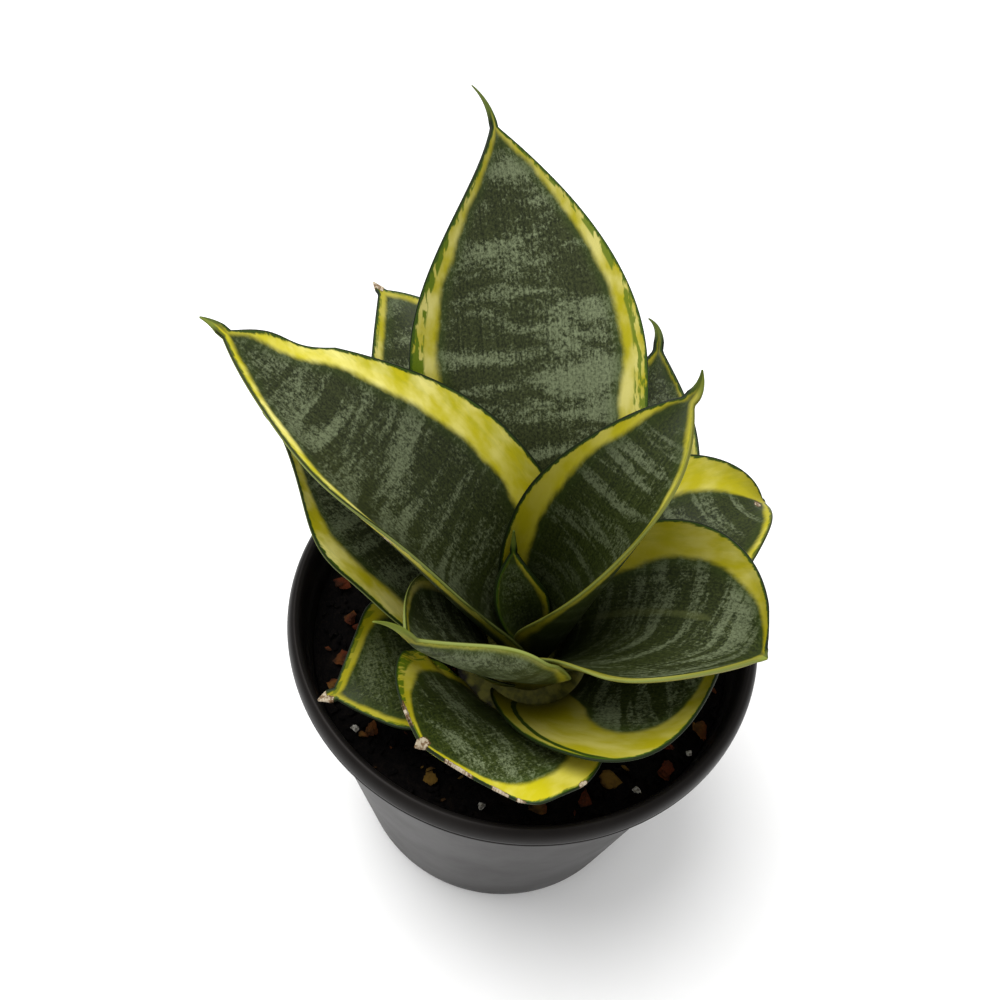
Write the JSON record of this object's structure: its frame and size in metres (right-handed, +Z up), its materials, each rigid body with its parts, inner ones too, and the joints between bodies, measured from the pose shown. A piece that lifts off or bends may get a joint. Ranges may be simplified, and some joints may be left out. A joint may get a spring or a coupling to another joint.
{
  "type": "potted bird's-nest snake plant",
  "caption": "Compact rosette of broad pointed variegated leaves on a short crown, growing in potting mix in a round tapered nursery pot with a turned-down rim",
  "frame": {"origin": "the point where the pot's axis meets the surface the pot stands on", "axes": "+Z up along the pot's axis; the tall back leaf leans towards +Y, the large left leaf reaches towards -X, and -Y is the side with the low leaves"},
  "size_m": [0.1287, 0.127, 0.1729],
  "materials": {
    "leaf": "waxy, satin",
    "pot": "moulded, satin",
    "soil": "damp, crumbly",
    "crown": "fibrous",
    "bark": "rough",
    "perlite": "porous"
  },
  "bodies": {
    "root": {"pot": "pot", "soil": "soil", "crown": "crown", "leaf_centre_young": "leaf", "leaf_inner_cup": "leaf", "leaf_left_large": "leaf", "leaf_right_wide": "leaf", "leaf_back_tall": "leaf", "leaf_front_left_folded": "leaf", "leaf_right_back_curled": "leaf", "leaf_left_lower": "leaf", "leaf_front_right_lower": "leaf", "leaf_back_right": "leaf", "leaf_front_blunt": "leaf", "leaf_back_left": "leaf", "leaf_front_left_low": "leaf", "bark_chip_01": "bark", "bark_chip_02": "bark", "bark_chip_03": "bark", "bark_chip_04": "bark", "bark_chip_05": "bark", "bark_chip_06": "bark", "bark_chip_07": "bark", "bark_chip_08": "bark", "bark_chip_09": "bark", "bark_chip_10": "bark", "bark_chip_11": "bark", "bark_chip_12": "bark", "perlite_01": "perlite", "perlite_02": "perlite", "perlite_03": "perlite", "perlite_04": "perlite"}
  },
  "joints": []
}
